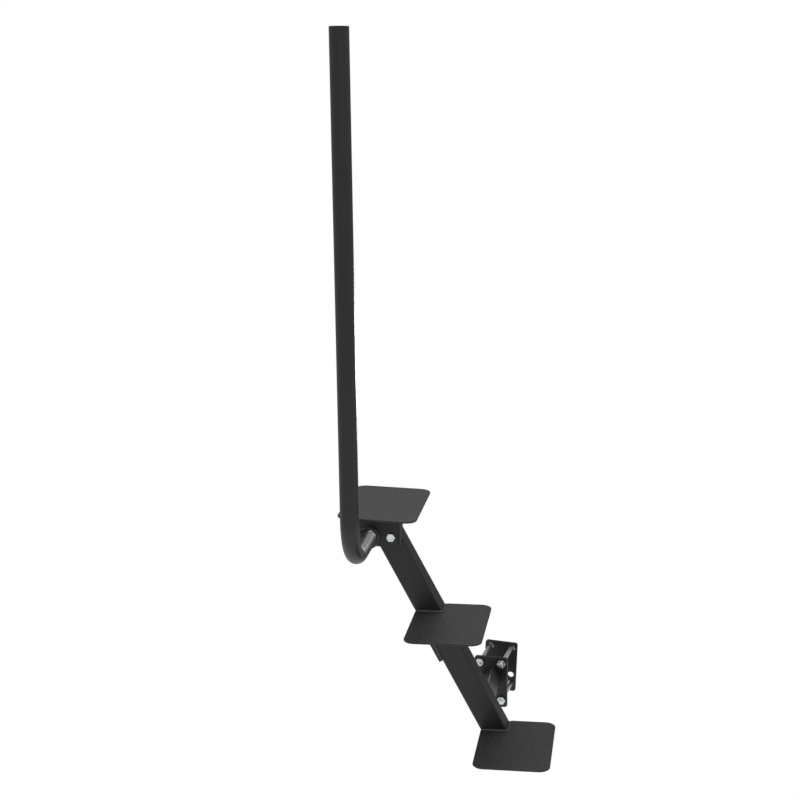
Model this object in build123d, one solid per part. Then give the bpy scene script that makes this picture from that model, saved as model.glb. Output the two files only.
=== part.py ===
"""A ladder that bolts to the tongue of a trailer.

A square tube slants up to the left and carries three step plates. A round handrail rises in
front of the top step, from a bracket over the tube's end. A square arm holds a seat plate
behind the tube, and four long bolts pull a loose jaw plate towards it, so that the two plates
grip the tongue between them.

Millimetres, +Z up. The origin is the middle of the seat plate's face that lies against the
tongue, and +Y points into the tongue. The ladder itself stands turned about Z from the clamp,
so it is worked out in its own axes: X to the right along the steps, Y from the front of the
steps to the back, and zero at the bottom step's back left corner, on its top face.
"""

import os
from math import radians, sin, tan

from build123d import *

# Stringer, a square tube
stringer_size = 53.0
stringer_wall = 3.2
stringer_corner = 4.0
stringer_angle = 62.2  # degrees from level
stringer_setback = 6.2  # from the steps' back edge to its back face

# Steps, flat plates with a notch at the back left for the tube
step_width = 162.0
step_depth = 249.0
step_thickness = 4.2
step_corner = 24.0
step_pitch = 305.0  # along the stringer
notch_corner = 1.5

# Top step, which sits over the tube's end and droops a little
top_step_right = 10.3
top_step_low = 7.0
top_step_droop = 2.1  # degrees down to the right
top_step_nod = 0.7  # degrees down to the front

# Flat bar on the tube's underside, below the middle step
brace_thickness = 7.9
brace_length = 90.0
brace_below_step = 32.0  # along the stringer, from the step's underside to the bar's upper end
brace_corner = 2.0

# Top bracket, a folded channel that straddles the tube's end
bracket_thickness = 4.8
bracket_bend = 3.0  # inside radius
bracket_corner = 8.0
bracket_bolt_drop = 96.2  # below the top step's top face
bracket_bolt_across = 33.4  # from the tube's underside
bracket_right_margin = 16.0  # from the bolt to the channel's end
bracket_low_margin = 22.7  # from the bolt to the cheeks' lower edge
bracket_left_margin = 28.0  # from the handrail's centre to the channel's other end

# Handrail, a bent round tube with a plug in its top
rail_diameter = 38.1
rail_wall = 2.1
rail_bend = 95.25  # radius of the centre line
rail_top = 1476.3  # above the bottom step
rail_step_gap = 2.2
rail_left_of_bolt = 49.4
rail_below_bolt = 2.6
cap_flange = 3.0
cap_stem = 16.0
cap_bevel = 0.8

# Arm, a square tube from the stringer to the seat plate, turned with the stringer's slope
arm_size = 38.1
arm_wall = 3.0
arm_corner = 4.0
arm_along = 46.0  # up the stringer, to the arm's centre
arm_length = 117.0  # from the stringer to the seat plate, along the arm's centre

# Clamp
ladder_turn = 7.4  # degrees about Z, from the clamp to the ladder
plate_width = 76.2
plate_height = 120.0
plate_thickness = 6.0
plate_corner = 6.0
plate_hole = 14.5
plate_right_of_arm = 4.4
plate_below_arm = 7.9
clamp_gap = 96.2  # between the plates' inner faces, as drawn
jaw_roll = 2.2  # degrees, what the large holes let the loose plate turn by
clamp_bolt_spacing = 50.8
bolted_rows = (46.6, -42.2)  # above and below the plate's middle
jaw_spare_row = -19.7

# Hexagon hardware
bolt_diameter = 10.0
hex_across_flats = 17.0
bolt_head_height = 6.4
nut_height = 8.0
bolt_beyond_nut = 3.0
bolt_point = 1.0
bolt_hole = 11.0
hex_chamfer = 0.8

# Fits
weld_gap = 0.2
seat_play = 0.2
thread_play = 0.05
plug_play = 0.1


def square_tube(size, wall, corner, length):
    """A square tube along Z, with the corner of its outline at the origin."""
    middle = Pos(size / 2, size / 2)
    outside = middle * RectangleRounded(size, size, corner)
    inside = middle * RectangleRounded(size - 2 * wall, size - 2 * wall, corner - wall)
    return extrude(outside - inside, length)


def hexagon(height):
    """A hexagon along Z, with its corners bevelled round the top face."""
    corner = hex_across_flats / 2 / sin(radians(60))
    flat = hex_across_flats / 2
    outline = [(0, 0), (corner, 0), (corner, height - hex_chamfer), (flat, height), (0, height)]
    envelope = revolve(Plane.XZ * make_face(Polyline(*outline, close=True)), Axis.Z)
    return extrude(RegularPolygon(corner, 6), height) & envelope


def hex_bolt(length):
    """A bolt along Z: the head stands below zero, and the shank rises to its length."""
    head = Rot(X=180) * hexagon(bolt_head_height)
    shank = extrude(Circle(bolt_diameter / 2), length)
    return head + chamfer(shank.edges().sort_by(Axis.Z)[-1], bolt_point)


def hex_nut():
    """A nut along Z, from zero up."""
    bore = extrude(Circle(bolt_diameter / 2 + thread_play), nut_height)
    return hexagon(nut_height) - bore


def stringer_x(height, across=0):
    """How far right the stringer is at a height, at a distance across it from its underside."""
    return across / sin(radians(stringer_angle)) - height / tan(radians(stringer_angle))


# Places, in the ladder's own axes
stringer_back = -stringer_setback
stringer_front = stringer_back - stringer_size
stringer_frame = Location((0, stringer_front, 0), (0, stringer_angle - 90, 0))
step_rise = step_pitch * sin(radians(stringer_angle))
step_levels = {"bottom_step": 0, "mid_step": step_rise}
top_level = 2 * step_rise - top_step_low
top_left = stringer_x(2 * step_rise) + top_step_right
top_frame = Location((top_left, 0, top_level), (0, top_step_droop, 0))
bolt_level = top_level - bracket_bolt_drop
bolt_x = stringer_x(bolt_level, bracket_bolt_across)
leg_level = bolt_level - rail_below_bolt
rail_x = bolt_x - rail_left_of_bolt
rail_y = -step_depth - rail_step_gap - rail_diameter / 2
cheek_front = stringer_front - seat_play - bracket_thickness
cheek_back = stringer_back + seat_play + bracket_thickness

# The arm's centre, and from it the seat plate's, which is the origin of the whole part
arm_frame = stringer_frame * Pos(stringer_size / 2 - arm_size / 2, stringer_size, arm_along)
arm_centre = (arm_frame * Pos(arm_size / 2, 0, 0)).position
seat_centre = Pos(arm_centre) * Pos(plate_right_of_arm, arm_length, -plate_below_arm)
ladder_frame = Pos(0, -plate_thickness - weld_gap, 0) * Rot(Z=ladder_turn) * seat_centre.inverse()


def bolt_axis(x, y, z):
    """A frame whose Z runs along the ladder's +Y."""
    return Location((x, y, z), (-90, 0, 0))


def make_stringer():
    """The slanting tube: cut level at its foot, and at its top where the bracket's bends begin."""
    foot = (step_thickness + stringer_size) / sin(radians(stringer_angle))
    length = 2 * step_pitch + 2 * foot
    tube = square_tube(stringer_size, stringer_wall, stringer_corner, length)
    tube = stringer_frame * Pos(0, 0, -foot) * tube
    tube = split(tube, bisect_by=Plane.XY.offset(-step_thickness), keep=Keep.TOP)
    bend_start = Plane(top_frame).offset(-step_thickness - bracket_thickness - bracket_bend)
    tube = split(tube, bisect_by=bend_start, keep=Keep.BOTTOM)
    through = extrude(Circle(bolt_hole / 2), stringer_size)
    return tube - bolt_axis(bolt_x, stringer_front, bolt_level) * through


def step_plate():
    """A plate with round corners, from its top face at zero down."""
    outline = RectangleRounded(step_width, step_depth, step_corner)
    return Pos(step_width / 2, -step_depth / 2) * extrude(outline, -step_thickness)


def make_notched_step(level):
    """A step with its back left corner cut out square, to fit round the tube."""
    tube_wide = stringer_size / sin(radians(stringer_angle))
    lean = step_thickness / tan(radians(stringer_angle))
    wide = tube_wide + lean + weld_gap
    deep = stringer_setback + stringer_size + weld_gap
    corner = Pos(0, -deep / 2, -step_thickness) * extrude(Rectangle(2 * wide, deep), step_thickness)
    inner_edge = corner.edges().filter_by(Axis.Z).group_by(Axis.X)[-1].sort_by(Axis.Y)[0]
    plate = step_plate() - fillet(inner_edge, notch_corner)
    return Pos(stringer_x(level), 0, level) * plate


def make_top_step():
    """The plain plate over the tube's end, resting on the channel's front edge."""
    hinge = Pos(0, cheek_front, -step_thickness)
    return top_frame * hinge * Rot(X=top_step_nod) * hinge.inverse() * step_plate()


def make_brace():
    """The flat bar under the middle step, as wide as the tube, with its free end rounded."""
    upper = step_pitch - step_thickness / sin(radians(stringer_angle)) - brace_below_step
    bar = Pos(-brace_thickness / 2, stringer_size / 2, upper - brace_length) * extrude(
        Rectangle(brace_thickness, stringer_size), brace_length
    )
    free_edges = bar.edges().filter_by(Axis.Y).group_by(Axis.X)[0]
    return stringer_frame * fillet(free_edges, brace_corner)


def make_bracket():
    """The folded channel: a web under the top step and a cheek down each side of the tube."""
    bolt = (top_frame.inverse() * Pos(bolt_x, 0, bolt_level)).position
    leg = (top_frame.inverse() * Pos(rail_x, 0, leg_level)).position
    left = leg.X - bracket_left_margin
    right = bolt.X + bracket_right_margin
    low = bolt.Z - bracket_low_margin
    high = -step_thickness
    middle_y = (cheek_front + cheek_back) / 2
    outside = Pos(middle_y, (low + high) / 2) * Rectangle(cheek_back - cheek_front, high - low)
    outside = fillet(outside.vertices().group_by(Axis.Y)[-1], bracket_bend + bracket_thickness)
    gap = stringer_size + 2 * seat_play
    inside_high = high - bracket_thickness
    inside = Pos(middle_y, (low + inside_high) / 2) * Rectangle(gap, inside_high - low)
    inside = fillet(inside.vertices().group_by(Axis.Y)[-1], bracket_bend)
    channel = Pos(left, 0, 0) * extrude(Plane.YZ * (outside - inside), right - left)
    foot_edges = channel.edges().filter_by(Axis.Y).group_by(Axis.Z)[0]
    channel = fillet(foot_edges, bracket_corner)
    through = extrude(Circle(bolt_hole / 2), cheek_back - cheek_front)
    return top_frame * (channel - bolt_axis(bolt.X, cheek_front, bolt.Z) * through)


def make_handrail():
    """The round tube: down in front of the steps, round one bend and back to the bracket."""
    top = (rail_x, rail_y, rail_top - cap_flange)
    corner = (rail_x, rail_y, leg_level)
    route = FilletPolyline(top, corner, (rail_x, cheek_front - weld_gap, leg_level), radius=rail_bend)
    ring = Circle(rail_diameter / 2) - Circle(rail_diameter / 2 - rail_wall)
    return sweep(Plane(origin=top, z_dir=(0, 0, -1)) * ring, path=route)


def make_cap():
    """The plastic plug in the handrail's top: a flange on the tube's end and a stem inside it."""
    stem_radius = rail_diameter / 2 - rail_wall - plug_play
    flange = extrude(Circle(rail_diameter / 2), cap_flange)
    flange = chamfer(flange.edges().sort_by(Axis.Z)[-1], cap_bevel)
    cap = flange + extrude(Circle(stem_radius), -cap_stem)
    return Pos(rail_x, rail_y, rail_top - cap_flange) * cap


def make_arm():
    """The square arm, turned with the stringer's slope and cut to the turned seat plate."""
    tube = square_tube(arm_size, arm_wall, arm_corner, 2 * arm_length)
    arm = ladder_frame * arm_frame * Pos(0, 0, arm_size / 2) * Rot(X=-90) * tube
    seat_back = Plane((0, -plate_thickness - weld_gap, 0), z_dir=(0, 1, 0))
    return split(arm, bisect_by=seat_back, keep=Keep.BOTTOM)


def clamp_holes(rows):
    """The places of the plates' holes, in the plates' own plane."""
    half = clamp_bolt_spacing / 2
    return [Pos(side * half, row) for row in rows for side in (-1, 1)]


def make_clamp_plate(rows):
    """One of the two plates, upright, with rows of holes, from Y zero towards +Y."""
    plate = RectangleRounded(plate_width, plate_height, plate_corner)
    for place in clamp_holes(rows):
        plate = plate - place * Circle(plate_hole / 2)
    return Rot(X=90) * extrude(plate, -plate_thickness)


def make_clamp_bolts():
    """Four bolts with their heads behind the jaw plate, pointing at the ladder."""
    length = clamp_gap + 2 * plate_thickness + nut_height + bolt_beyond_nut
    head_face = Location((0, clamp_gap + plate_thickness, 0), (90, 0, 0))
    return [head_face * place * hex_bolt(length) for place in clamp_holes(bolted_rows)]


def make_clamp_nuts():
    """Four nuts on the ladder's side of the seat plate."""
    nut_face = Location((0, -plate_thickness, 0), (90, 0, 0))
    return [nut_face * place * hex_nut() for place in clamp_holes(bolted_rows)]


def make_bracket_bolt():
    """The bolt through the channel and the tube, with its head to the front."""
    length = cheek_back - cheek_front + nut_height + bolt_beyond_nut
    return bolt_axis(bolt_x, cheek_front, bolt_level) * hex_bolt(length)


def make_bracket_nut():
    """The nut behind the channel's back cheek."""
    return bolt_axis(bolt_x, cheek_back, bolt_level) * hex_nut()


ladder_pieces = {
    "stringer": make_stringer(),
    "top_step": make_top_step(),
    "mid_step_brace": make_brace(),
    "top_bracket": make_bracket(),
    "handrail": make_handrail(),
    "handrail_cap": make_cap(),
    "bracket_bolt": make_bracket_bolt(),
    "bracket_nut": make_bracket_nut(),
}
for name, level in step_levels.items():
    ladder_pieces[name] = make_notched_step(level)

pieces = {name: ladder_frame * piece for name, piece in ladder_pieces.items()}
pieces["mount_arm"] = make_arm()
pieces["seat_plate"] = Pos(0, -plate_thickness, 0) * make_clamp_plate(bolted_rows)
jaw_plate = make_clamp_plate(bolted_rows + (jaw_spare_row,))
pieces["jaw_plate"] = Pos(0, clamp_gap, 0) * Rot(Y=jaw_roll) * jaw_plate
pieces["clamp_bolts"] = Compound(children=make_clamp_bolts())
pieces["clamp_nuts"] = Compound(children=make_clamp_nuts())

os.makedirs("parts", exist_ok=True)
for name, piece in pieces.items():
    export_step(piece, f"parts/{name}.step")
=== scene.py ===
"""The looks of a ladder that bolts to the tongue of a trailer.

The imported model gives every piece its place. This file rounds the cut edges of the plates and
tubes, lays the welds, cuts the threads, and gives each surface its finish. Sizes are metres, and
the object's own frame is used throughout: +Z up, +Y into the tongue.
"""

from math import atan2, cos, pi, radians, sin, tan

import bmesh
import bpy
from mathutils import Matrix, Vector, noise
from mathutils.geometry import delaunay_2d_cdt


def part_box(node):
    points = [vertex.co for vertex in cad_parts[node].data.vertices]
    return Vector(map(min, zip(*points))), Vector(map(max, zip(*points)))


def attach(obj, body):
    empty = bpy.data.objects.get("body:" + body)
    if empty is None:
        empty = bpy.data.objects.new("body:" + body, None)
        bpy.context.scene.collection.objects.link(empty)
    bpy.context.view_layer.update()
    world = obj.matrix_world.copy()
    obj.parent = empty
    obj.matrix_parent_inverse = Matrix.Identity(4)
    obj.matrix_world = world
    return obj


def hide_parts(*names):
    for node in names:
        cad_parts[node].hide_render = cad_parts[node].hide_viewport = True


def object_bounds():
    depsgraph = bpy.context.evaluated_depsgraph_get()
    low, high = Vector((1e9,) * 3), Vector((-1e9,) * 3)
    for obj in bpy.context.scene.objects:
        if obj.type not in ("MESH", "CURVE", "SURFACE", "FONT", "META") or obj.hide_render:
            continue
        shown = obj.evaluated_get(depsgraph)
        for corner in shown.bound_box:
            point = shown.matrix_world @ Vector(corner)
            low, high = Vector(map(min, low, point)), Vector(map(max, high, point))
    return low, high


bl_info = {
    "name": "Trailer tongue ladder",
    "version": (1, 0, 0),
    "blender": (4, 5, 0),
    "location": "View3D > Sidebar > Ladder",
    "description": "Coated steel, welds, zinc hardware and studio for a clamp-on step ladder",
    "category": "Object",
}

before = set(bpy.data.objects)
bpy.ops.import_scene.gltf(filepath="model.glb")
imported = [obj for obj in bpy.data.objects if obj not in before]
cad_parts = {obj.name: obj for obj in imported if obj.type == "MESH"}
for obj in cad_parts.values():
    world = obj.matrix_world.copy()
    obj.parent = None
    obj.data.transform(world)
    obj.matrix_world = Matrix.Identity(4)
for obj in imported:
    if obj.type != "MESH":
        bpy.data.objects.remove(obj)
cad_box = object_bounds()

MM = 0.001
PHOTO_SIDE = 800
SENSOR = 36.0
# Shares of a hexagon's half width: where its corners' bevel starts, and the flat on its end.
BEVEL_FROM = 0.97
END_FLAT = 0.95


def colour(code):
    """An sRGB hex code as linear red, green and blue."""
    parts = [int(code[place : place + 2], 16) / 255 for place in (0, 2, 4)]
    return [part / 12.92 if part <= 0.04045 else ((part + 0.055) / 1.055) ** 2.4 for part in parts]


def size(name, description, default):
    """A length that the sidebar shows in the scene's units."""
    return bpy.props.FloatProperty(
        name=name, description=description, default=default, min=0, precision=5, unit="LENGTH"
    )


def rotation(name, description, default):
    """An angle that the sidebar shows in the scene's units."""
    return bpy.props.FloatProperty(
        name=name, description=description, default=default, subtype="ANGLE", unit="ROTATION"
    )


def light(name, description, default, unit="NONE"):
    """A brightness, where 1 is white, or the power of a lamp, which has a unit."""
    return bpy.props.FloatProperty(name=name, description=description, default=default, min=0, unit=unit)


def tint(name, description, code):
    """A colour that the sidebar shows as a swatch."""
    return bpy.props.FloatVectorProperty(
        name=name, description=description, default=colour(code), min=0, max=1, subtype="COLOR"
    )


class LadderFinish(bpy.types.PropertyGroup):
    """Colours of the ladder's finishes."""

    steel: tint("Satin coat", "Powder coat on the tubes, plates and bracket", "121213")
    # The weld coat is lighter than the satin coat: its grey is a painted glint on the beads.
    bead: tint("Weld coat", "Thin powder coat over the weld beads", "404041")
    grip: tint("Grip coat", "Textured powder coat on the steps", "121212")
    grip_worn: tint("Grip coat, high grains", "Tips of the grains on the steps", "30302f")
    plug: tint("Plug", "Moulded plastic in the handrail's top", "161616")
    zinc: tint("Zinc", "Bright zinc plate on bolts and nuts", "ebf2f0")
    zinc_dull: tint("Zinc, dull", "Where the plate has dulled in the hand", "d0dada")


class LadderSizes(bpy.types.PropertyGroup):
    """Sizes of what the coat, the welder and the thread cutter leave on the ladder."""

    turn: rotation("Ladder turn", "From the clamp's axes to the steps', about vertical", radians(7.4))
    droop: rotation("Top step droop", "Dip of the top step and its bracket to the right", radians(2.1))
    plate_edge: size("Plate edge", "Radius of the coat over a laser-cut edge", 0.8 * MM)
    step_edge: size("Step edge", "Radius of the coat round the steps", 1.1 * MM)
    tube_edge: size("Tube edge", "Radius of the coat over a sawn tube end", 0.5 * MM)
    grain: size("Grip grain", "Distance between the grains on the steps", 1.9 * MM)
    grain_depth: size("Grip depth", "Height of the grains on the steps", 0.28 * MM)
    tube_corner: size("Stringer corner", "Outside corner of the slanting tube", 4.0 * MM)
    rail_bend: size("Rail bend", "Radius of the handrail's bend, at its middle", 95.25 * MM)
    rail_wall: size("Rail wall", "Thickness of the handrail's tube", 2.1 * MM)
    arm_size: size("Arm", "Side of the square arm", 38.1 * MM)
    arm_corner: size("Arm corner", "Outside corner of the arm", 4.0 * MM)
    bead: size("Weld bead", "Half the width of a fillet weld", 2.6 * MM)
    rail_bead: size("Rail weld bead", "Half the width of the fillet round the rail's end", 4.0 * MM)
    stitch: size("Bracket weld", "Length of each stitch under the top step", 22.0 * MM)
    stitch_inset: size("Bracket weld inset", "From the bracket's end to its stitch", 9.0 * MM)
    ripple: size("Weld ripple", "Distance between the ripples of a weld", 2.2 * MM)
    thread_size: size("Thread", "Outside diameter of the bolts' thread", 10.0 * MM)
    pitch: size("Pitch", "Advance of the thread in one turn", 1.5 * MM)
    clamp_thread: size("Clamp thread", "Threaded length of the clamp bolts", 32.0 * MM)
    bracket_thread: size("Bracket thread", "Threaded length of the bracket bolt", 26.0 * MM)
    flats: size("Across flats", "Width of the hexagons", 17.0 * MM)
    head_height: size("Head", "Height of the bolts' heads", 6.4 * MM)
    nut_height: size("Nut", "Height of the nuts", 8.0 * MM)


class LadderStage(bpy.types.PropertyGroup):
    """The studio that the ladder is shown in."""

    camera_place: bpy.props.FloatVectorProperty(
        name="Camera place",
        description="Where the camera stands, in the ladder's frame",
        default=(0.7145, -3.1667, 1.3167),
        subtype="XYZ",
        unit="LENGTH",
    )
    camera_heading: rotation("Heading", "Camera's turn to the left", 0.27186)
    camera_dip: rotation("Dip", "Camera's tilt down", 0.2532)
    camera_roll: rotation("Roll", "Camera's roll", -0.0094)
    focal_pixels: bpy.props.FloatProperty(
        name="Focal length", description="In pixels of the photograph", default=1508.95, subtype="PIXEL"
    )
    middle_pixels: bpy.props.FloatVectorProperty(
        name="Middle",
        description="Where the lens looks in the photograph, from its top left",
        default=(418.97, 480.0),
        size=2,
    )
    floor_drop: size("Floor", "From the ladder's lowest point down to the floor", 0.3)
    front_light: light("Front light", "Brightness of the room behind the camera", 0.58)
    foot_light: light("Foot light", "Brightness of the far wall's foot", 0.15)
    back_light: light("Back light", "Brightness of the far wall", 0.6)
    sky_light: light("Ceiling light", "Brightness of the room overhead", 0.75)
    top_lamp: light("Top lamp", "Power of the softbox overhead", 14.0, unit="POWER")
    key_lamp: light("Key lamp", "Power of the softbox above the camera", 20.0, unit="POWER")
    foot_lamp: light("Foot lamp", "Power of the lamp low behind the arm", 0.15, unit="POWER")
    arm_lamp: light("Arm lamp", "Power of the strip that edges the arm", 3.0, unit="POWER")
    rim_lamp: light("Rim lamp", "Power of the strip behind the rail's leg", 10.5, unit="POWER")


def sizes():
    """The sizes as the sidebar has them."""
    return bpy.context.scene.ladder_sizes


def ladder_turn():
    """From the ladder's own axes to the clamp's: both share their origin."""
    return Matrix.Rotation(sizes().turn, 4, "Z")


def ladder_box(node):
    """A node's lowest and highest corners in the ladder's own axes."""
    back = ladder_turn().inverted()
    corners = [back @ vertex.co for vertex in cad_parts[node].data.vertices]
    low = Vector([min(corner[axis] for corner in corners) for axis in range(3)])
    high = Vector([max(corner[axis] for corner in corners) for axis in range(3)])
    return low, high


def feed(tree, node, inputs):
    """Links or sets the inputs of a node."""
    for key, value in inputs.items():
        if isinstance(value, bpy.types.NodeSocket):
            tree.links.new(value, node.inputs[key])
        else:
            node.inputs[key].default_value = value


def add(tree, kind, inputs=None, **settings):
    """Adds a node with its settings, and links or sets its inputs."""
    node = tree.nodes.new(kind)
    for name, value in settings.items():
        setattr(node, name, value)
    feed(tree, node, inputs or {})
    return node


def per_metre(pattern):
    """The scale of a texture whose features are this far apart."""
    return 1 / pattern


def start_material(name, base, roughness, patterns, metallic=0.0, ior=None):
    """A material, its coordinates, and noise on them for each size in millimetres and detail."""
    made = bpy.data.materials.new(name)
    made.use_nodes = True
    tree = made.node_tree
    plain = {"Base Color": (*base, 1), "Roughness": roughness, "Metallic": metallic}
    if ior:
        plain["IOR"] = ior
    feed(tree, tree.nodes["Principled BSDF"], plain)
    place = add(tree, "ShaderNodeTexCoord").outputs
    noises = []
    for pattern, detail in patterns:
        laid = {"Vector": place["Object"], "Scale": per_metre(pattern * MM), "Detail": detail}
        noises.append(add(tree, "ShaderNodeTexNoise", laid).outputs["Fac"])
    return made, place, noises


def end_material(made, shade, gloss, relief):
    """Feeds a shader from its patterns.

    The shade is a pattern and two colours, or none. The gloss is a pattern and two roughnesses.
    The relief is bumps, one over the other, each a pattern, a strength and a depth in millimetres.
    """
    tree = made.node_tree
    pattern, low, high = gloss
    spread = add(tree, "ShaderNodeMapRange", {"Value": pattern, "To Min": low, "To Max": high})
    looks = {"Roughness": spread.outputs["Result"]}
    if shade:
        pattern, low, high = shade
        blend = {"Factor": pattern, "A": (*low, 1), "B": (*high, 1)}
        looks["Base Color"] = add(tree, "ShaderNodeMix", blend, data_type="RGBA").outputs["Result"]
    for pattern, strength, depth in relief:
        raised = {"Height": pattern, "Strength": strength, "Distance": depth * MM}
        if "Normal" in looks:
            raised["Normal"] = looks["Normal"]
        looks["Normal"] = add(tree, "ShaderNodeBump", raised).outputs["Normal"]
    feed(tree, tree.nodes["Principled BSDF"], looks)
    return made


def powder_coat(name, base, glossiest, dullest):
    """Polyester powder baked on steel, with the orange peel that it flows out to."""
    patterns = ((3.2, 1.0), (70, 3.0))
    made, _, (peel, flow) = start_material(name, base, dullest, patterns, ior=1.5)
    darker = [part * 0.85 for part in base]
    lighter = [part * 1.15 for part in base]
    gloss = (flow, glossiest, dullest)
    return end_material(made, (flow, darker, lighter), gloss, [(peel, 0.2, 0.06)])


def satin_powder_coat():
    """Powder baked on blasted steel: a satin black with a faint orange peel."""
    return powder_coat("satin_powder_coat", bpy.context.scene.ladder_finish.steel, 0.36, 0.48)


def bead_coat_painted_glint():
    """The same powder, thin over the ripples of a weld, and a lighter grey than the satin coat as a
    painted glint on the beads.
    """
    return powder_coat("bead_coat_painted_glint", bpy.context.scene.ladder_finish.bead, 0.32, 0.42)


def grip_powder_coat():
    """Textured powder over a coarse grit: matt, with grains whose tips catch the light.

    A pixel of the photograph is about 2 mm wide, so clumps of grit are drawn 4.5 mm apart to show.
    Their worn tips are only on the faces that look up, and the cut edges stay dark.
    """
    finish = bpy.context.scene.ladder_finish
    patterns = ((0.7, 4.0), (24, 4.0), (4.5, 2.0))
    made, place, noises = start_material("grip_powder_coat", finish.grip, 0.5, patterns, ior=1.5)
    sand, patch, lumps = noises
    tree = made.node_tree
    cells = {"Vector": place["Object"], "Scale": per_metre(1.7 * MM), "Randomness": 1.0}
    grit = add(tree, "ShaderNodeTexVoronoi", cells, feature="SMOOTH_F1").outputs["Distance"]
    peak = {"Value": grit, "From Min": 0.1, "From Max": 0.6, "To Min": 1.0, "To Max": 0.0}
    tips = add(tree, "ShaderNodeMapRange", peak).outputs["Result"]
    worn = {"Value": lumps, "From Min": 0.35, "From Max": 0.65}
    mottle = add(tree, "ShaderNodeMapRange", worn).outputs["Result"]
    upward = add(tree, "ShaderNodeSeparateXYZ", {0: place["Normal"]}).outputs["Z"]
    top = {"Value": upward, "From Min": 0.6, "From Max": 0.9, "To Max": mottle}
    trodden = add(tree, "ShaderNodeMapRange", top).outputs["Result"]
    relief = [(tips, 0.5, 0.25), (lumps, 1.0, 0.45), (sand, 0.4, 0.08)]
    return end_material(made, (trodden, finish.grip, finish.grip_worn), (patch, 0.42, 0.56), relief)


def bright_zinc_plate():
    """Zinc electroplate with a clear passivate: silver with a blue cast, a little cloudy."""
    finish = bpy.context.scene.ladder_finish
    patterns = ((5, 4.0), (0.5, 2.0))
    made, _, noises = start_material("bright_zinc_plate", finish.zinc, 0.3, patterns, metallic=1.0)
    cloud, grain = noises
    shade = (cloud, finish.zinc, finish.zinc_dull)
    return end_material(made, shade, (cloud, 0.2, 0.42), [(grain, 0.25, 0.02)])


def moulded_plug():
    """Black polyethylene from a spark-eroded mould: dull, with a fine leathery grain."""
    base = bpy.context.scene.ladder_finish.plug
    patterns = ((0.6, 3.0), (12, 2.0))
    made, _, noises = start_material("moulded_polyethylene", base, 0.5, patterns, ior=1.51)
    grain, cast = noises
    return end_material(made, None, (cast, 0.44, 0.58), [(grain, 0.5, 0.05)])


def finish_named(name):
    """A finish by its material's name, made the first time that it is asked for."""
    makers = {
        "satin_powder_coat": satin_powder_coat,
        "bead_coat_painted_glint": bead_coat_painted_glint,
        "grip_powder_coat": grip_powder_coat,
        "bright_zinc_plate": bright_zinc_plate,
        "moulded_polyethylene": moulded_plug,
    }
    return bpy.data.materials.get(name) or makers[name]()


def show(name, mesh, finish, body, replaced=()):
    """Puts a finished mesh in the scene, with its finish, its body and the nodes it stands for."""
    piece = bpy.data.objects.new(name, mesh)
    mesh.materials.clear()
    mesh.materials.append(finish_named(finish))
    bpy.context.scene.collection.objects.link(piece)
    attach(piece, body)
    if replaced:
        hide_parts(*replaced)
    return piece


def plain_mesh(source):
    """The evaluated shape of an object as a mesh, and the object is taken away."""
    bpy.context.view_layer.update()
    shape = source.evaluated_get(bpy.context.evaluated_depsgraph_get())
    mesh = bpy.data.meshes.new_from_object(shape)
    bpy.data.objects.remove(source)
    return mesh


def working_object(name, mesh):
    """An object for a modifier to work on, before its mesh is taken."""
    made = bpy.data.objects.new(name, mesh)
    bpy.context.scene.collection.objects.link(made)
    return made


def even_shading(mesh, sharpest=40):
    """Smooth shading in which the wide flat faces stay flat."""
    mesh.shade_smooth()
    source = working_object("shading", mesh)
    mesh.set_sharp_from_angle(angle=radians(sharpest))
    source.modifiers.new("Even", "WEIGHTED_NORMAL").keep_sharp = True
    return plain_mesh(source)


def merged_copy(node):
    """A node's faces joined into one closed shell, with its flat faces whole."""
    shape = bmesh.new()
    shape.from_mesh(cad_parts[node].data)
    for layer in list(shape.loops.layers.float_vector.values()):
        shape.loops.layers.float_vector.remove(layer)
    same_place = 0.001 * MM
    flat = radians(0.5)
    bmesh.ops.remove_doubles(shape, verts=shape.verts, dist=same_place)
    bmesh.ops.dissolve_limit(
        shape, angle_limit=flat, verts=list(shape.verts), edges=list(shape.edges)
    )
    return shape


def taken_mesh(name, shape):
    """The mesh of a working shape, which is let go."""
    mesh = bpy.data.meshes.new(name)
    shape.to_mesh(mesh)
    shape.free()
    return mesh


def round_edges(shape, radius, sharpest=40):
    """Rounds each edge that a saw or laser left square."""
    square = [
        edge for edge in shape.edges if edge.is_manifold and edge.calc_face_angle() > radians(sharpest)
    ]
    bmesh.ops.bevel(
        shape,
        geom=square,
        offset=radius,
        offset_type="OFFSET",
        segments=3,
        profile=0.5,
        affect="EDGES",
        clamp_overlap=True,
    )


def grain_field(low, high, spacing):
    """Points of an even triangular field over a rectangle."""
    row_height = spacing * sin(pi / 3)
    rows = int((high.y - low.y) / row_height)
    columns = int((high.x - low.x) / spacing)
    for row in range(1, rows):
        for column in range(1, columns):
            yield Vector((low.x + (column + row % 2 / 2) * spacing, low.y + row * row_height))


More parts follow.
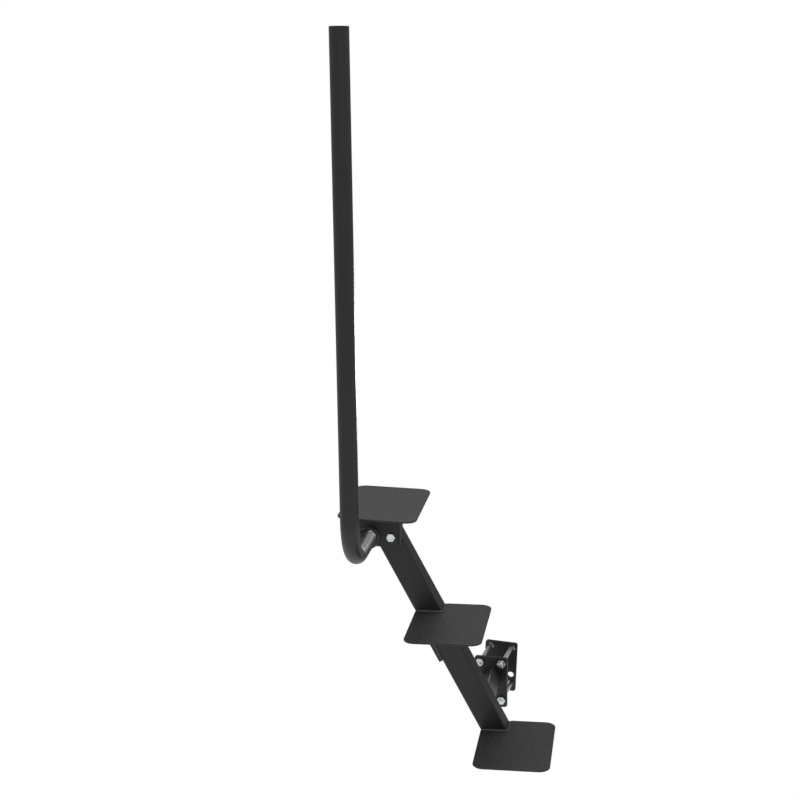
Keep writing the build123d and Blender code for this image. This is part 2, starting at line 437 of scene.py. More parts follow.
def lay_grains(shape, spacing, depth):
    """Swaps a plate's top face for a field of grains, sunk unevenly below its level."""
    noise_step = 0.9
    same_place = 0.01 * MM
    top = max((face for face in shape.faces if face.normal.z > 0.9), key=lambda face: face.calc_area())
    normal = top.normal.copy()
    level = Matrix.Translation(top.verts[0].co) @ normal.to_track_quat("Z", "Y").to_matrix().to_4x4()
    rim = list(top.verts)
    flat_rim = [(level.inverted() @ vertex.co).to_2d() for vertex in rim]
    low = Vector([min(point[axis] for point in flat_rim) for axis in (0, 1)])
    high = Vector([max(point[axis] for point in flat_rim) for axis in (0, 1)])
    shape.faces.remove(top)
    points = flat_rim + list(grain_field(low, high, spacing))
    loop = [(place, (place + 1) % len(rim)) for place in range(len(rim))]
    laid, _, faces, given, _, _ = delaunay_2d_cdt(points, loop, [], 1, same_place)
    vertices = {}
    for number in sorted({corner for face in faces for corner in face}):
        own = [source for source in given[number] if source < len(rim)]
        if own:
            vertices[number] = rim[own[0]]
            continue
        place = level @ laid[number].to_3d()
        sunk = depth * (0.5 + 0.5 * noise.noise(place / spacing * noise_step))
        vertices[number] = shape.verts.new(place - normal * sunk)
    for face in faces:
        corners = [vertices[corner] for corner in face]
        made = shape.faces.new(corners)
        made.normal_update()
        if made.normal.dot(normal) < 0:
            made.normal_flip()


def coated_copy(node, edge, grain=None, depth=None):
    """A node's shape with the small radius that the coat gives its edges, and with any grip."""
    shape = merged_copy(node)
    round_edges(shape, edge)
    if grain:
        lay_grains(shape, grain, depth)
    return even_shading(taken_mesh(node, shape))


class LADDER_OT_steps(bpy.types.Operator):
    """Three step plates with rounded edges and grit in their coat"""

    bl_idname = "ladder.steps"
    bl_label = "Steps"

    def execute(self, context):
        given = context.scene.ladder_sizes
        for node in ("bottom_step", "mid_step", "top_step"):
            mesh = coated_copy(node, given.step_edge, given.grain, given.grain_depth)
            show(f"grip_{node}", mesh, "grip_powder_coat", "ladder", [node])
        return {"FINISHED"}


class LADDER_OT_steelwork(bpy.types.Operator):
    """Stringer, arm, brace, bracket and clamp plates in satin powder coat"""

    bl_idname = "ladder.steelwork"
    bl_label = "Steelwork"

    def execute(self, context):
        given = context.scene.ladder_sizes
        tubes = dict.fromkeys(("stringer", "mount_arm"), given.tube_edge)
        plates = ("mid_step_brace", "top_bracket", "seat_plate", "jaw_plate")
        for node, edge in (tubes | dict.fromkeys(plates, given.plate_edge)).items():
            body = "clamp_jaw" if node == "jaw_plate" else "ladder"
            mesh = coated_copy(node, edge)
            show(f"coated_{node}", mesh, "satin_powder_coat", body, [node])
        return {"FINISHED"}


def start_tree(name, numbers):
    """Geometry nodes that take a shape, named numbers and a finish, and those as sockets."""
    tree = bpy.data.node_groups.new(name, "GeometryNodeTree")
    face = tree.interface
    face.new_socket("Geometry", in_out="INPUT", socket_type="NodeSocketGeometry")
    for label, default in numbers.items():
        face.new_socket(label, in_out="INPUT", socket_type="NodeSocketFloat").default_value = default
    face.new_socket("Finish", in_out="INPUT", socket_type="NodeSocketMaterial")
    face.new_socket("Geometry", in_out="OUTPUT", socket_type="NodeSocketGeometry")
    return tree, add(tree, "NodeGroupInput").outputs


def end_tree(tree, shape, finish):
    """Makes instances real, gives the shape its finish and puts it out."""
    real = add(tree, "GeometryNodeRealizeInstances", {"Geometry": shape}).outputs["Geometry"]
    dressed = add(tree, "GeometryNodeSetMaterial", {"Geometry": real, "Material": finish})
    add(tree, "NodeGroupOutput", {"Geometry": dressed.outputs["Geometry"]})
    return tree


def rail_tree():
    """Geometry nodes that bend a round tube along a line with one corner."""
    tree, given = start_tree("Bent tube", {"Radius": 19.05 * MM, "Bend": 95.25 * MM})
    line = add(tree, "GeometryNodeMeshToCurve", {"Mesh": given["Geometry"]}).outputs["Curve"]
    corner = {"Curve": line, "Count": 48, "Radius": given["Bend"]}
    bent = add(tree, "GeometryNodeFilletCurve", corner, mode="POLY").outputs["Curve"]
    round_tube = {"Resolution": 96, "Radius": given["Radius"]}
    ring = add(tree, "GeometryNodeCurvePrimitiveCircle", round_tube).outputs["Curve"]
    skin = add(tree, "GeometryNodeCurveToMesh", {"Curve": bent, "Profile Curve": ring})
    return end_tree(tree, skin.outputs["Mesh"], given["Finish"])


class LADDER_OT_handrail(bpy.types.Operator):
    """The round tube that rises in front of the steps, with one smooth bend"""

    bl_idname = "ladder.handrail"
    bl_label = "Handrail"

    def execute(self, context):
        given = context.scene.ladder_sizes
        low, high = ladder_box("handrail")
        radius = (high.x - low.x) / 2
        middle = (low.x + high.x) / 2
        front = low.y + radius
        leg = low.z + radius
        line = [
            Vector((middle, front, high.z)),
            Vector((middle, front, leg)),
            Vector((middle, high.y, leg)),
        ]
        source = working_object("rail_line", line_mesh("rail_line", [(line, False)]))
        values = {
            "Radius": radius,
            "Bend": given.rail_bend,
            "Finish": finish_named("satin_powder_coat"),
        }
        tube = working_object("rail_skin", run_nodes(source, rail_tree(), values))
        wall = tube.modifiers.new("Wall", "SOLIDIFY")
        wall.thickness = given.rail_wall
        wall.offset = -1
        mesh = plain_mesh(tube)
        mesh.transform(ladder_turn())
        mesh = even_shading(mesh)
        show("coated_handrail", mesh, "satin_powder_coat", "ladder", ["handrail"])
        return {"FINISHED"}


def weld_tree():
    """Geometry nodes that run a rippled bead along a line."""
    numbers = {"Bead": 2.6 * MM, "Ripple": 2.2 * MM, "Unevenness": 0.12, "Seed": 3.0}
    samples_per_ripple = 6.0
    steepness = 0.6
    thinnest = 0.85
    tree, given = start_tree("Weld bead", numbers)
    math = "ShaderNodeMath"
    line = add(tree, "GeometryNodeMeshToCurve", {"Mesh": given["Geometry"]}).outputs["Curve"]
    step = add(tree, math, {0: given["Ripple"], 1: samples_per_ripple}, operation="DIVIDE").outputs[0]
    even = {"Curve": line, "Length": step}
    fine = add(tree, "GeometryNodeResampleCurve", even, mode="LENGTH").outputs["Curve"]
    along = add(tree, "GeometryNodeSplineParameter").outputs["Length"]
    turns = add(tree, math, {0: along, 1: given["Ripple"]}, operation="DIVIDE").outputs[0]
    cycle = add(tree, math, {0: turns}, operation="FRACT").outputs[0]
    crest = add(tree, math, {0: cycle, 1: steepness}, operation="POWER").outputs[0]
    drift = {"W": given["Seed"], "Scale": per_metre(9 * MM), "Detail": 1.0}
    wander = add(tree, "ShaderNodeTexNoise", drift, noise_dimensions="4D").outputs["Fac"]
    both = add(tree, math, {0: crest, 1: wander}, operation="ADD").outputs[0]
    swelling = {0: both, 1: given["Unevenness"], 2: thinnest}
    swing = add(tree, math, swelling, operation="MULTIPLY_ADD").outputs[0]
    wire = {"Resolution": 12, "Radius": given["Bead"]}
    ring = add(tree, "GeometryNodeCurvePrimitiveCircle", wire).outputs["Curve"]
    laid = {"Curve": fine, "Profile Curve": ring, "Scale": swing, "Fill Caps": True}
    bead = add(tree, "GeometryNodeCurveToMesh", laid).outputs["Mesh"]
    smooth = add(tree, "GeometryNodeSetShadeSmooth", {"Geometry": bead}).outputs["Geometry"]
    return end_tree(tree, smooth, given["Finish"])


def run_nodes(source, tree, values):
    """Gives an object a node tree with its named inputs, and takes the result as a mesh."""
    modifier = source.modifiers.new(tree.name, "NODES")
    modifier.node_group = tree
    for socket in tree.interface.items_tree:
        if socket.in_out == "INPUT" and socket.name in values:
            modifier[socket.identifier] = values[socket.name]
    return plain_mesh(source)


def line_mesh(name, lines):
    """Open or closed lines as loose edges. Each line is its points and whether it closes."""
    points = []
    edges = []
    for line, closed in lines:
        first = len(points)
        points.extend(line)
        edges.extend((first + place, first + place + 1) for place in range(len(line) - 1))
        if closed:
            edges.append((len(points) - 1, first))
    mesh = bpy.data.meshes.new(name)
    mesh.from_pydata(points, edges, [])
    return mesh


def arc(centre, across, up, start, end, steps=6):
    """Points round part of an ellipse whose half axes are two vectors."""
    for step in range(steps + 1):
        angle = start + (end - start) * step / steps
        yield centre + across * cos(angle) + up * sin(angle)


def rounded_square(centre, side, corner, across, up):
    """The outline of a square tube, as a closed line."""
    reach = side / 2 - corner
    points = []
    for quarter in range(4):
        angle = quarter * pi / 2
        x = reach if quarter in (0, 3) else -reach
        y = reach if quarter in (0, 1) else -reach
        middle = centre + across * x + up * y
        points.extend(arc(middle, across * corner, up * corner, angle, angle + pi / 2))
    return points


def slope():
    """The stringer's angle from level, from the places of two steps that it carries."""
    low_step = ladder_box("bottom_step")
    next_step = ladder_box("mid_step")
    return atan2(next_step[1].z - low_step[1].z, low_step[0].x - next_step[0].x)


def step_weld(step, above):
    """The line round the stringer's front and right faces, where it passes through a step."""
    low, high = ladder_box(step)
    tube_low, tube_high = ladder_box("stringer")
    given = sizes()
    lean = (high.z - low.z) / tan(slope())
    level = high.z if above else low.z
    left = low.x if above else low.x + lean
    wide = (tube_high.y - tube_low.y) / sin(slope())
    corner = given.tube_corner
    out = given.bead * 0.25
    rise = out if above else -out
    front = tube_low.y - out
    right = left + wide + (out + given.bead * 0.3 if above else out)
    turn_at = Vector((right - corner, front + corner, level + rise))
    yield Vector((left + corner, front, level + rise))
    yield from arc(turn_at, Vector((corner, 0, 0)), Vector((0, corner, 0)), -pi / 2, 0)
    yield Vector((right, tube_high.y - corner, level + rise))


def rail_weld():
    """The ring round the handrail's end, on the bracket's front cheek."""
    cap_low, cap_high = ladder_box("handrail_cap")
    rail_low, rail_high = ladder_box("handrail")
    radius = (cap_high.x - cap_low.x) / 2
    given = sizes()
    ring = radius + given.rail_bead * 0.6
    back = rail_high.y - given.rail_bead * 0.2
    middle = Vector(((cap_low.x + cap_high.x) / 2, back, rail_low.z + radius))
    return list(arc(middle, Vector((ring, 0, 0)), Vector((0, 0, ring)), 0, 2 * pi, 48))[:-1]


def arm_weld(at_seat):
    """The loop round the arm, on the stringer's back face or on the seat plate."""
    given = sizes()
    low, high = ladder_box("mount_arm")
    tube_high = ladder_box("stringer")[1]
    seat_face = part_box("seat_plate")[0].y
    tilt = pi / 2 - slope()
    across = Vector((cos(tilt), 0, sin(tilt)))
    up = Vector((-sin(tilt), 0, cos(tilt)))
    middle = Vector(((low.x + high.x) / 2, tube_high.y, (low.z + high.z) / 2))
    loop = rounded_square(middle, given.arm_size + given.bead, given.arm_corner, across, up)
    for point in loop:
        if at_seat:
            point.y = (seat_face - sin(given.turn) * point.x) / cos(given.turn) - given.bead * 0.3
        else:
            point.y = tube_high.y + given.bead * 0.3
    return loop


def brace_welds():
    """The lines along both sides of the brace, in the grooves that the tube's corners leave."""
    low, high = ladder_box("mid_step_brace")
    tube_low, tube_high = ladder_box("stringer")
    step_low, step_high = ladder_box("bottom_step")
    given = sizes()
    along = Vector((-cos(slope()), 0, sin(slope())))
    out = Vector((-sin(slope()), 0, -cos(slope())))
    reach = (high.z - low.z) / sin(slope()) / 2 - given.tube_corner
    middle = (low + high) / 2
    foot = Vector((step_low.x, 0, step_high.z))
    off = (middle - foot).dot(out)
    on_face = middle - out * (off + given.bead * 0.1)
    for y in (tube_low.y + given.bead * 0.15, tube_high.y - given.bead * 0.15):
        centre = Vector((on_face.x, y, on_face.z))
        yield [centre - along * reach, centre + along * reach]


def bracket_welds():
    """Short stitches between the top step and the bracket's bends, front and back."""
    low, high = ladder_box("top_bracket")
    given = sizes()
    for y in (low.y + given.bead * 0.8, high.y - given.bead * 0.8):
        for start in (low.x + given.stitch_inset, high.x - given.stitch_inset - given.stitch):
            ends = []
            for x in (start, start + given.stitch):
                fall = (x - low.x) * tan(given.droop)
                ends.append(Vector((x, y, high.z - fall - given.bead * 0.7)))
            yield ends


def cheek_weld():
    """The line down the end of the bracket's front cheek, on the stringer's front face."""
    low, high = ladder_box("top_bracket")
    given = sizes()
    right = high.x + given.bead * 0.1
    front = ladder_box("stringer")[0].y - given.bead
    below_bend = high.z - 20 * MM
    above_corner = low.z + 8 * MM
    return [Vector((right, front, below_bend)), Vector((right, front, above_corner))]


class LADDER_OT_welds(bpy.types.Operator):
    """Fillet welds that join the steps, rail, brace, bracket, arm and seat plate"""

    bl_idname = "ladder.welds"
    bl_label = "Welds"

    def execute(self, context):
        given = context.scene.ladder_sizes
        tree = weld_tree()
        seams = {
            "step_welds": [
                (list(step_weld(step, above)), False)
                for step in ("bottom_step", "mid_step")
                for above in (True, False)
            ],
            "rail_weld": [(rail_weld(), True)],
            "cheek_weld": [(cheek_weld(), False)],
            "arm_welds": [(arm_weld(False), True), (arm_weld(True), True)],
            "brace_welds": [(line, False) for line in brace_welds()],
            "bracket_welds": [(line, False) for line in bracket_welds()],
        }
        for name, lines in seams.items():
            # All welds but the arm's take the lighter bead coat, whose grey is a painted glint.
            finish = "satin_powder_coat" if name == "arm_welds" else "bead_coat_painted_glint"
            source = working_object(name, line_mesh(name, lines))
            values = {
                "Bead": given.rail_bead if name == "rail_weld" else given.bead,
                "Ripple": given.ripple,
                "Finish": finish_named(finish),
            }
            mesh = run_nodes(source, tree, values)
            mesh.transform(ladder_turn())
            show(name, mesh, finish, "ladder")
        return {"FINISHED"}


def skin_rings(name, rings, closed=False, poles=(None, None)):
    """A mesh over rings of equally many points. Poles close its ends, or it closes on itself."""
    shape = bmesh.new()
    rows = [[shape.verts.new(point) for point in ring] for ring in rings]
    if closed:
        rows.append(rows[0])
    for lower, upper in zip(rows, rows[1:]):
        for place in range(len(lower)):
            following = (place + 1) % len(lower)
            shape.faces.new((lower[place], lower[following], upper[following], upper[place]))
    for row, pole in ((rows[0], poles[0]), (rows[-1], poles[1])):
        if pole is not None:
            middle = shape.verts.new(pole)
            for place in range(len(row)):
                shape.faces.new((row[place], row[(place + 1) % len(row)], middle))
    bmesh.ops.recalc_face_normals(shape, faces=shape.faces)
    return taken_mesh(name, shape)


def circle(radius, height, count=72):
    """Points round a circle at a height."""
    return [
        Vector((radius * cos(place * 2 * pi / count), radius * sin(place * 2 * pi / count), height))
        for place in range(count)
    ]


def hexagon(height, bevelled=False, count=72):
    """Points round a hexagon, dropped below a height where a cone bevels its corners."""
    flat = sizes().flats / 2
    points = []
    for place in range(count):
        angle = place * 2 * pi / count
        reach = flat / cos(angle % (pi / 3) - pi / 6)
        drop = max(0, reach - flat * BEVEL_FROM) * tan(radians(30)) if bevelled else 0
        points.append(Vector((reach * cos(angle), reach * sin(angle), height - drop)))
    return points


def soft_hexagon(mesh):
    """Rounds the forged edges a little, and evens the shading."""
    shape = bmesh.new()
    shape.from_mesh(mesh)
    forged = 0.25 * MM
    round_edges(shape, forged, sharpest=24)
    shape.to_mesh(mesh)
    shape.free()
    return even_shading(mesh, sharpest=50)


def bolt_head():
    """A forged hexagon head: its bearing face is at zero, and it stands below it."""
    given = sizes()
    flat = given.flats / 2
    top = given.head_height
    washer = 0.3 * MM
    dish = flat * 0.6
    dish_floor = top - 0.25 * MM
    rings = [
        circle(flat * END_FLAT, 0),
        hexagon(washer),
        hexagon(top, bevelled=True),
        circle(flat * END_FLAT, top),
        circle(dish, top),
        circle(dish - 0.5 * MM, dish_floor),
    ]
    mesh = skin_rings("bolt_head", rings, poles=((0, 0, 0), (0, 0, dish_floor)))
    mesh.transform(Matrix.Rotation(pi, 4, "X"))
    return soft_hexagon(mesh)


def hex_nut():
    """A hexagon nut from zero up, bevelled at both ends, with its bore countersunk."""
    given = sizes()
    flat = given.flats / 2
    top = given.nut_height
    clearance = 0.05 * MM
    bore = given.thread_size / 2 + clearance
    sink = 0.6 * MM
    low = [Vector((point.x, point.y, top - point.z)) for point in hexagon(top, bevelled=True)]
    rings = [
        circle(bore + sink, 0),
        circle(flat * END_FLAT, 0),
        low,
        hexagon(top, bevelled=True),
        circle(flat * END_FLAT, top),
        circle(bore + sink, top),
        circle(bore, top - sink),
        circle(bore, sink),
    ]
    return soft_hexagon(skin_rings("hex_nut", rings, closed=True))


def thread_tree():
    """Geometry nodes that add a shank to a bolt head, with a helical thread cut from its end."""
    numbers = {"Diameter": 10 * MM, "Pitch": 1.5 * MM, "Length": 100 * MM, "Threaded": 26 * MM}
    around = 24
    rows_per_pitch = 6.0
    flanks = {"From Min": 0.12, "From Max": 0.88}
    depth_per_pitch = 0.61
    tip_inset = 0.1
    tree, given = start_tree("Threaded shank", numbers)
    length, pitch = given["Length"], given["Pitch"]
    math = "ShaderNodeMath"
    pitches = add(tree, math, {0: length, 1: pitch}, operation="DIVIDE").outputs[0]
    rows = add(tree, math, {0: pitches, 1: rows_per_pitch}, operation="MULTIPLY").outputs[0]
    grid = {"Size X": 1.0, "Size Y": length, "Vertices X": around + 1, "Vertices Y": rows}
    sheet = add(tree, "GeometryNodeMeshGrid", grid).outputs["Mesh"]
    spot = add(tree, "ShaderNodeSeparateXYZ", {0: add(tree, "GeometryNodeInputPosition").outputs[0]})
    share = add(tree, math, {0: spot.outputs["X"], 1: 0.5}, operation="ADD").outputs[0]
    up = {0: length, 1: 0.5, 2: spot.outputs["Y"]}
    height = add(tree, math, up, operation="MULTIPLY_ADD").outputs[0]
    climbed = add(tree, math, {0: height, 1: pitch}, operation="DIVIDE").outputs[0]
    phase = add(tree, math, {0: climbed, 1: share}, operation="SUBTRACT").outputs[0]
    turned = add(tree, math, {0: phase}, operation="FRACT").outputs[0]
    swing = add(tree, math, {0: turned, 1: 2.0, 2: -1.0}, operation="MULTIPLY_ADD").outputs[0]
    wave = add(tree, math, {0: swing}, operation="ABSOLUTE").outputs[0]
    cut = add(tree, "ShaderNodeMapRange", {"Value": wave, **flanks}).outputs["Result"]
    start = add(tree, math, {0: length, 1: given["Threaded"]}, operation="SUBTRACT").outputs[0]
    full = add(tree, math, {0: pitch, 1: 2.0, 2: start}, operation="MULTIPLY_ADD").outputs[0]
    run = {"Value": height, "From Min": start, "From Max": full}
    run_in = add(tree, "ShaderNodeMapRange", run).outputs["Result"]
    depth = add(tree, math, {0: pitch, 1: depth_per_pitch}, operation="MULTIPLY").outputs[0]
    outer = add(tree, math, {0: given["Diameter"], 1: 2.0}, operation="DIVIDE").outputs[0]
    core = add(tree, math, {0: outer, 1: depth}, operation="SUBTRACT").outputs[0]
    reached = add(tree, math, {0: cut, 1: run_in}, operation="MULTIPLY").outputs[0]
    sunk = add(tree, math, {0: reached, 1: depth}, operation="MULTIPLY").outputs[0]
    threaded = add(tree, math, {0: outer, 1: sunk}, operation="SUBTRACT").outputs[0]
    to_tip = add(tree, math, {0: length, 1: height}, operation="SUBTRACT").outputs[0]
    blunt = add(tree, math, {0: pitch, 1: tip_inset}, operation="MULTIPLY").outputs[0]
    point = add(tree, math, {0: core, 1: blunt}, operation="SUBTRACT").outputs[0]
    coned = add(tree, math, {0: point, 1: to_tip}, operation="ADD").outputs[0]
    radius = add(tree, math, {0: threaded, 1: coned}, operation="MINIMUM").outputs[0]
    angle = add(tree, math, {0: share, 1: 2 * pi}, operation="MULTIPLY").outputs[0]
    axes = {"Z": height}
    for axis, wheel in (("X", "COSINE"), ("Y", "SINE")):
        part = add(tree, math, {0: angle}, operation=wheel).outputs[0]
        axes[axis] = add(tree, math, {0: radius, 1: part}, operation="MULTIPLY").outputs[0]
    place = add(tree, "ShaderNodeCombineXYZ", axes).outputs["Vector"]
    moved = {"Geometry": sheet, "Position": place}
    rolled = add(tree, "GeometryNodeSetPosition", moved).outputs["Geometry"]
    disc = "GeometryNodeMeshCircle"
    tip = add(tree, disc, {"Vertices": around, "Radius": point}, fill_type="NGON").outputs["Mesh"]
    lift = add(tree, "ShaderNodeCombineXYZ", {"Z": length}).outputs["Vector"]
    raised = {"Geometry": tip, "Translation": lift}
    tip_up = add(tree, "GeometryNodeTransform", raised).outputs["Geometry"]
    root = add(tree, disc, {"Vertices": around, "Radius": outer}, fill_type="NGON").outputs["Mesh"]
    root_down = add(tree, "GeometryNodeFlipFaces", {"Mesh": root}).outputs["Mesh"]
    shank = add(tree, "GeometryNodeJoinGeometry")
    for part in (rolled, tip_up, root_down):
        tree.links.new(part, shank.inputs["Geometry"])
    seams = {"Geometry": shank.outputs["Geometry"], "Distance": 0.01 * MM}
    closed = add(tree, "GeometryNodeMergeByDistance", seams).outputs["Geometry"]
    smooth = add(tree, "GeometryNodeSetShadeSmooth", {"Geometry": closed}).outputs["Geometry"]
    whole = add(tree, "GeometryNodeJoinGeometry")
    for part in (smooth, given["Geometry"]):
        tree.links.new(part, whole.inputs["Geometry"])
    return end_tree(tree, whole.outputs["Geometry"], given["Finish"])


def pattern_tree():
    """Geometry nodes that set a fastener out on points."""
    tree, given = start_tree("Fastener pattern", {})
    tree.interface.new_socket("Fastener", in_out="INPUT", socket_type="NodeSocketObject")
    info = add(tree, "GeometryNodeObjectInfo", {"Object": given["Fastener"]})
    spread = {"Points": given["Geometry"], "Instance": info.outputs["Geometry"]}
    copies = add(tree, "GeometryNodeInstanceOnPoints", spread).outputs["Instances"]
    return end_tree(tree, copies, given["Finish"])


def set_out(name, mesh, points, tree):
    """One mesh of a fastener repeated at each point."""
    fastener = working_object(f"one_{name}", mesh)
    places = working_object(name, line_mesh(name, [([point], False) for point in points]))
    values = {"Fastener": fastener, "Finish": finish_named("bright_zinc_plate")}
    repeated = run_nodes(places, tree, values)
    bpy.data.objects.remove(fastener)
    return repeated


def hex_bolt(length, threaded, tree):
    """A bolt along Z, its head below zero."""
    given = sizes()
    values = {
        "Diameter": given.thread_size,
        "Pitch": given.pitch,
        "Length": length,
        "Threaded": threaded,
        "Finish": finish_named("bright_zinc_plate"),
    }
    return run_nodes(working_object("hex_bolt", bolt_head()), tree, values)


def clamp_points():
    """The four clamp bolts' places across the plates, from the box of their hexagons."""
    low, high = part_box("clamp_bolts")
    flat = sizes().flats / 2
    corner = flat / cos(pi / 6)
    columns = (low.x + corner, high.x - corner)
    return [Vector((x, z, 0)) for z in (high.z - flat, low.z + flat) for x in columns]


class LADDER_OT_clamp_bolts(bpy.types.Operator):
    """Four long bolts through the clamp plates, with their nuts on the seat plate"""

    bl_idname = "ladder.clamp_bolts"
    bl_label = "Clamp bolts"

    def execute(self, context):
        given = context.scene.ladder_sizes
        pattern = pattern_tree()
        low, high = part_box("clamp_bolts")
        length = high.y - low.y - given.head_height
        bolt = hex_bolt(length, given.clamp_thread, thread_tree())
        towards_ladder = Matrix.Rotation(pi / 2, 4, "X")
        bolts = set_out("zinc_clamp_bolts", bolt, clamp_points(), pattern)
        bolts.transform(Matrix.Translation((0, high.y - given.head_height, 0)) @ towards_ladder)
        show("zinc_clamp_bolts", bolts, "bright_zinc_plate", "clamp_jaw", ["clamp_bolts"])
        nuts = set_out("zinc_clamp_nuts", hex_nut(), clamp_points(), pattern)
        nuts.transform(Matrix.Translation((0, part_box("clamp_nuts")[1].y, 0)) @ towards_ladder)
        show("zinc_clamp_nuts", nuts, "bright_zinc_plate", "ladder", ["clamp_nuts"])
        return {"FINISHED"}


class LADDER_OT_bracket_bolt(bpy.types.Operator):
    """The bolt and nut that hold the handrail's bracket to the stringer"""

    bl_idname = "ladder.bracket_bolt"
    bl_label = "Bracket bolt"

    def execute(self, context):
        given = context.scene.ladder_sizes
        low, high = ladder_box("bracket_bolt")
        middle = (low + high) / 2
        place = ladder_turn() @ Matrix.Translation((middle.x, 0, middle.z))
        away = place @ Matrix.Rotation(-pi / 2, 4, "X")
        bolt = hex_bolt(high.y - low.y - given.head_height, given.bracket_thread, thread_tree())
        bolt.transform(away @ Matrix.Translation((0, 0, low.y + given.head_height)))
        show("zinc_bracket_bolt", bolt, "bright_zinc_plate", "ladder", ["bracket_bolt"])
        nut = hex_nut()
        nut.transform(away @ Matrix.Translation((0, 0, ladder_box("bracket_nut")[0].y)))
        show("zinc_bracket_nut", nut, "bright_zinc_plate", "ladder", ["bracket_nut"])
        return {"FINISHED"}


class LADDER_OT_handrail_cap(bpy.types.Operator):
    """The moulded plug in the handrail's top"""

    bl_idname = "ladder.handrail_cap"
    bl_label = "Handrail cap"

    def execute(self, context):
        low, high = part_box("handrail_cap")
        rail_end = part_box("handrail")[1].z
        radius = (high.x - low.x) / 2
        clearance = 0.5 * MM
        stem = radius - context.scene.ladder_sizes.rail_wall - clearance
        edge = 1.2 * MM
        lip = 0.4 * MM
        rings = [circle(stem - edge, low.z), circle(stem, low.z + edge), circle(stem, rail_end)]
        rings.append(circle(radius - lip, rail_end))
        rings.append(circle(radius, rail_end + lip))
        steps = 6
        for step in range(steps + 1):
            angle = step * pi / 2 / steps
            rings.append(circle(radius - edge * (1 - cos(angle)), high.z - edge * (1 - sin(angle))))
        rings.append(circle(radius / 2, high.z))
        mesh = skin_rings("handrail_cap", rings, poles=((0, 0, low.z), (0, 0, high.z)))
        middle = (low + high) / 2
        mesh.transform(Matrix.Translation((middle.x, middle.y, 0)))
        mesh = even_shading(mesh)
        show("moulded_handrail_cap", mesh, "moulded_polyethylene", "ladder", ["handrail_cap"])
        return {"FINISHED"}


def studio_world():
    """A white room: pure white to the camera, but a banded far wall and a bright ceiling as light."""
    given = bpy.context.scene.ladder_stage
    world = bpy.data.worlds.new("white_room")
    bpy.context.scene.world = world
    world.use_nodes = True
    tree = world.node_tree
    tree.nodes.clear()
    front = (0.0, -1.0, 0.0)
    direction = add(tree, "ShaderNodeTexCoord").outputs["Generated"]
    facing = add(tree, "ShaderNodeVectorMath", {0: direction, 1: front}, operation="DOT_PRODUCT")
    height = add(tree, "ShaderNodeSeparateXYZ", {0: direction})
    raised = add(tree, "ShaderNodeMapRange", {"Value": height.outputs["Z"], "From Min": -0.1})
    wall = add(tree, "ShaderNodeValToRGB", {"Fac": raised.outputs["Result"]})
    stops = wall.color_ramp.elements
    stops[0].color = (*[given.foot_light] * 3, 1)
    stops[1].color = (*[given.sky_light] * 3, 1)
    # One bright band up the far wall: places on the ramp, and shares of the wall's light.
    bands = ((0.12, 0.2), (0.2, 1.0), (0.3, 1.0), (0.37, 0.2), (0.6, 0.22))
    for place, share in bands:
        stops.new(place).color = (*[given.back_light * share] * 3, 1)
    # The room turns from the far wall to the front between 23 and 63 degrees off straight ahead.
    turning = {"Value": facing.outputs["Value"], "From Min": -0.92, "From Max": -0.45}
    walls = {"To Min": wall.outputs["Color"], "To Max": given.front_light}
    level = add(tree, "ShaderNodeMapRange", {**turning, **walls})
    white = (1, 1, 1, 1)
    lit = {"Color": white, "Strength": level.outputs["Result"]}
    room = add(tree, "ShaderNodeBackground", lit)
    backdrop = add(tree, "ShaderNodeBackground", {"Color": white, "Strength": 1.0})
    seen = add(tree, "ShaderNodeLightPath").outputs["Is Camera Ray"]
    mixed = add(tree, "ShaderNodeMixShader", {0: seen, 1: room.outputs[0], 2: backdrop.outputs[0]})
    add(tree, "ShaderNodeOutputWorld", {"Surface": mixed.outputs[0]})


def paper_floor():
    """Matt white seamless paper that glows a little, and is plain white where the camera sees it."""
    made = bpy.data.materials.new("white_seamless_paper")
    made.use_nodes = True
    tree = made.node_tree
    paper = tree.nodes["Principled BSDF"]
    white = (1, 1, 1, 1)
    matt = {"Base Color": (*colour("f0f0f0"), 1), "Roughness": 0.9}
    feed(tree, paper, {**matt, "Emission Color": white, "Emission Strength": 0.25})
    glow = add(tree, "ShaderNodeEmission", {"Color": white, "Strength": 1.0})
    seen = add(tree, "ShaderNodeLightPath").outputs["Is Camera Ray"]
    mixed = add(tree, "ShaderNodeMixShader", {0: seen, 1: paper.outputs[0], 2: glow.outputs[0]})
    tree.links.new(mixed.outputs[0], tree.nodes["Material Output"].inputs["Surface"])
    return made


def softbox(name, place, target, wide, tall, power, only=()):
    """A soft rectangular lamp that faces a point. It can be kept to a few pieces."""
    lamp = bpy.data.lights.new(name, "AREA")
    lamp.shape = "RECTANGLE"
    lamp.size = wide
    lamp.size_y = tall
    lamp.energy = power
    box = bpy.data.objects.new(name, lamp)
    aim = (Vector(target) - Vector(place)).to_track_quat("-Z", "Y")
    box.matrix_world = Matrix.Translation(place) @ aim.to_matrix().to_4x4()
    bpy.context.scene.collection.objects.link(box)
    if only:
        lit = bpy.data.collections.new(f"lit_by_{name}")
        for piece in only:
            lit.objects.link(piece)
        box.light_linking.receiver_collection = lit
        box.light_linking.blocker_collection = lit


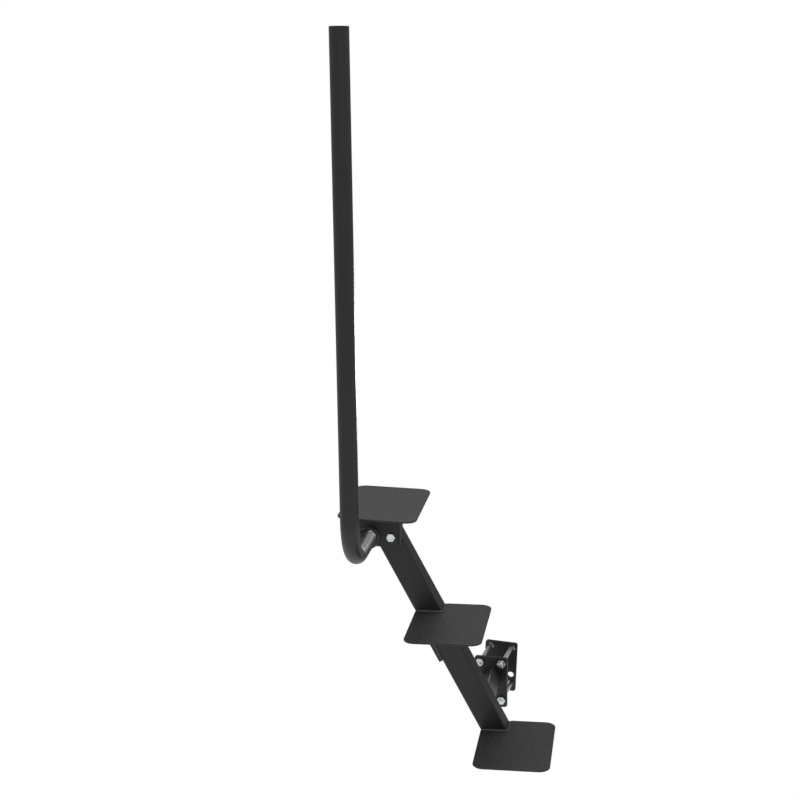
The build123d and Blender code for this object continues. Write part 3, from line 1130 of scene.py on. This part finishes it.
class LADDER_OT_studio(bpy.types.Operator):
    """White room, paper floor, softboxes and the camera"""

    bl_idname = "ladder.studio"
    bl_label = "Studio"

    def execute(self, context):
        given = context.scene.ladder_stage
        studio_world()
        level = cad_box[0].z - given.floor_drop
        left, right, near, far = (-3.0, 3.0, -4.0, 1.2)
        corners = [(left, near, level), (right, near, level), (right, far, level), (left, far, level)]
        mesh = bpy.data.meshes.new("paper_floor")
        mesh.from_pydata(corners, [], [(0, 1, 2, 3)])
        mesh.materials.append(paper_floor())
        floor = working_object("paper_floor", mesh)
        middle = (-0.1, -0.2, 0.3)
        above_clamp = (-0.15, 0.1, 1.9)
        above_camera = (1.0, -2.2, 3.2)
        softbox("top_softbox", above_clamp, middle, 1.2, 1.2, given.top_lamp)
        softbox("key_softbox", above_camera, middle, 1.4, 1.0, given.key_lamp)
        rail = [bpy.data.objects["coated_handrail"]]
        arm = [bpy.data.objects["coated_mount_arm"]]
        behind, leg = (-0.08, 0.72, 0.607), (-0.2, -0.3, 0.39)
        softbox("rim_softbox", behind, leg, 0.2, 0.26, given.rim_lamp, only=rail)
        softbox("arm_softbox", behind, leg, 0.27, 0.2, given.arm_lamp, only=arm)
        low_behind, foot = (0.21, 0.7, -0.1), (0.02, -0.06, 0.01)
        softbox("foot_softbox", low_behind, foot, 0.3, 0.2, given.foot_lamp, only=rail + arm)
        lens = bpy.data.cameras.new("photo_camera")
        lens.sensor_width = SENSOR
        lens.lens = given.focal_pixels / PHOTO_SIDE * SENSOR
        lens.shift_x = 0.5 - given.middle_pixels[0] / PHOTO_SIDE
        lens.shift_y = given.middle_pixels[1] / PHOTO_SIDE - 0.5
        camera = bpy.data.objects.new("photo_camera", lens)
        camera.matrix_world = (
            Matrix.Translation(given.camera_place)
            @ Matrix.Rotation(given.camera_heading, 4, "Z")
            @ Matrix.Rotation(pi / 2 - given.camera_dip, 4, "X")
            @ Matrix.Rotation(given.camera_roll, 4, "Z")
        )
        context.scene.collection.objects.link(camera)
        context.scene.camera = camera
        context.scene.view_settings.view_transform = "Standard"
        return {"FINISHED"}


GROUPS = {"ladder_finish": LadderFinish, "ladder_sizes": LadderSizes, "ladder_stage": LadderStage}
MAKERS = (
    LADDER_OT_steps,
    LADDER_OT_steelwork,
    LADDER_OT_handrail,
    LADDER_OT_welds,
    LADDER_OT_clamp_bolts,
    LADDER_OT_bracket_bolt,
    LADDER_OT_handrail_cap,
    LADDER_OT_studio,
)


class LADDER_PT_panel(bpy.types.Panel):
    """The ladder's pieces, sizes and finishes"""

    bl_idname = "LADDER_PT_panel"
    bl_label = "Trailer tongue ladder"
    bl_space_type = "VIEW_3D"
    bl_region_type = "UI"
    bl_category = "Ladder"

    def draw(self, context):
        for maker in MAKERS:
            self.layout.operator(maker.bl_idname)
        for kind in GROUPS:
            group = getattr(context.scene, kind)
            box = self.layout.box()
            for name in group.bl_rna.properties.keys():
                if name not in ("rna_type", "name"):
                    box.prop(group, name)


def register():
    """Adds the classes and the groups of sizes to Blender."""
    for name, group in GROUPS.items():
        bpy.utils.register_class(group)
        setattr(bpy.types.Scene, name, bpy.props.PointerProperty(type=group))
    for maker in (*MAKERS, LADDER_PT_panel):
        bpy.utils.register_class(maker)


def unregister():
    """Takes away what register adds, in the opposite order."""
    for maker in (LADDER_PT_panel, *reversed(MAKERS)):
        bpy.utils.unregister_class(maker)
    for name, group in reversed(GROUPS.items()):
        delattr(bpy.types.Scene, name)
        bpy.utils.unregister_class(group)


def main():
    """Makes each piece and the studio in order."""
    register()
    bpy.ops.ladder.steps()
    bpy.ops.ladder.steelwork()
    bpy.ops.ladder.handrail()
    bpy.ops.ladder.welds()
    bpy.ops.ladder.clamp_bolts()
    bpy.ops.ladder.bracket_bolt()
    bpy.ops.ladder.handrail_cap()
    bpy.ops.ladder.studio()


if __name__ == "__main__":
    main()
